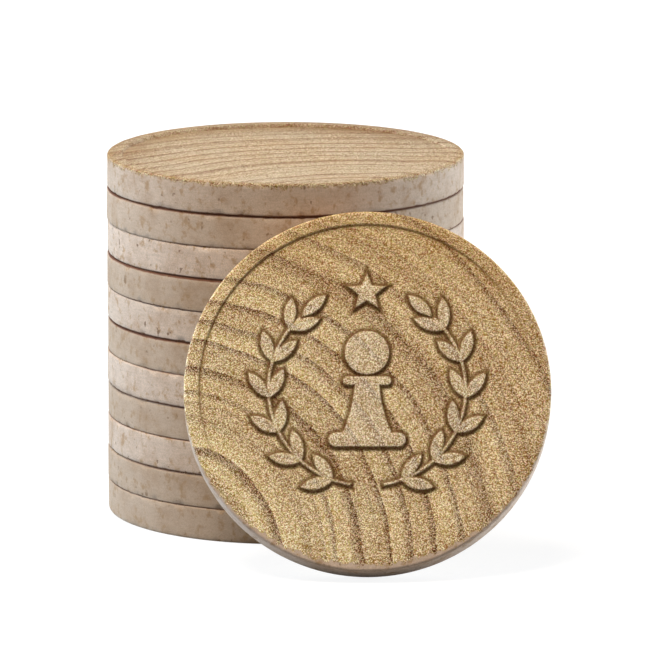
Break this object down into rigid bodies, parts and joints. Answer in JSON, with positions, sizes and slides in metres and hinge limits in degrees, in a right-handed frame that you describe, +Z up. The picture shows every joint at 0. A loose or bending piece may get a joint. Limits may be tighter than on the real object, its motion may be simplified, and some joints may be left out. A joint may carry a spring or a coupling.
{
  "type": "wooden game token set",
  "caption": "Stack of loose, round wooden game tokens with raised rims and a pressed pawn-and-wreath relief, and a matching token that leans on the stack with its face out.",
  "frame": {"origin": "centre of the underside of the stack's bottom token, on the table", "axes": "+Z up the stack's axis, -Y to the front, where the token leans on the stack, +X to the right"},
  "size_m": [0.0466, 0.0558, 0.0385],
  "materials": {
    "wood": "raw, pressed and lightly sanded"
  },
  "bodies": {
    "stack_token_01": {"stack_token_01": "wood"},
    "stack_token_02": {"stack_token_02": "wood"},
    "stack_token_03": {"stack_token_03": "wood"},
    "stack_token_04": {"stack_token_04": "wood"},
    "stack_token_05": {"stack_token_05": "wood"},
    "stack_token_06": {"stack_token_06": "wood"},
    "stack_token_07": {"stack_token_07": "wood"},
    "stack_token_08": {"stack_token_08": "wood"},
    "stack_token_09": {"stack_token_09": "wood"},
    "stack_token_10": {"stack_token_10": "wood"},
    "stack_token_11": {"stack_token_11": "wood"},
    "leaning_token": {"leaning_token": "wood"}
  },
  "joints": [
    {"name": "lift_stack_token_02", "type": "slide", "parent": "stack_token_01", "child": "stack_token_02", "axis": [0, 0, 1], "range_m": [0, 0.015]},
    {"name": "lift_stack_token_03", "type": "slide", "parent": "stack_token_02", "child": "stack_token_03", "axis": [0, 0, 1], "range_m": [0, 0.015]},
    {"name": "lift_stack_token_04", "type": "slide", "parent": "stack_token_03", "child": "stack_token_04", "axis": [0, 0, 1], "range_m": [0, 0.015]},
    {"name": "lift_stack_token_05", "type": "slide", "parent": "stack_token_04", "child": "stack_token_05", "axis": [0, 0, 1], "range_m": [0, 0.015]},
    {"name": "lift_stack_token_06", "type": "slide", "parent": "stack_token_05", "child": "stack_token_06", "axis": [0, 0, 1], "range_m": [0, 0.015]},
    {"name": "lift_stack_token_07", "type": "slide", "parent": "stack_token_06", "child": "stack_token_07", "axis": [0, 0, 1], "range_m": [0, 0.015]},
    {"name": "lift_stack_token_08", "type": "slide", "parent": "stack_token_07", "child": "stack_token_08", "axis": [0, 0, 1], "range_m": [0, 0.015]},
    {"name": "lift_stack_token_09", "type": "slide", "parent": "stack_token_08", "child": "stack_token_09", "axis": [0, 0, 1], "range_m": [0, 0.015]},
    {"name": "lift_stack_token_10", "type": "slide", "parent": "stack_token_09", "child": "stack_token_10", "axis": [0, 0, 1], "range_m": [0, 0.015]},
    {"name": "lift_stack_token_11", "type": "slide", "parent": "stack_token_10", "child": "stack_token_11", "axis": [0, 0, 1], "range_m": [0, 0.015]},
    {"name": "take_leaning_token", "type": "slide", "parent": "stack_token_01", "child": "leaning_token", "axis": [0, -0.9171, 0.3987], "range_m": [0, 0.04]}
  ]
}
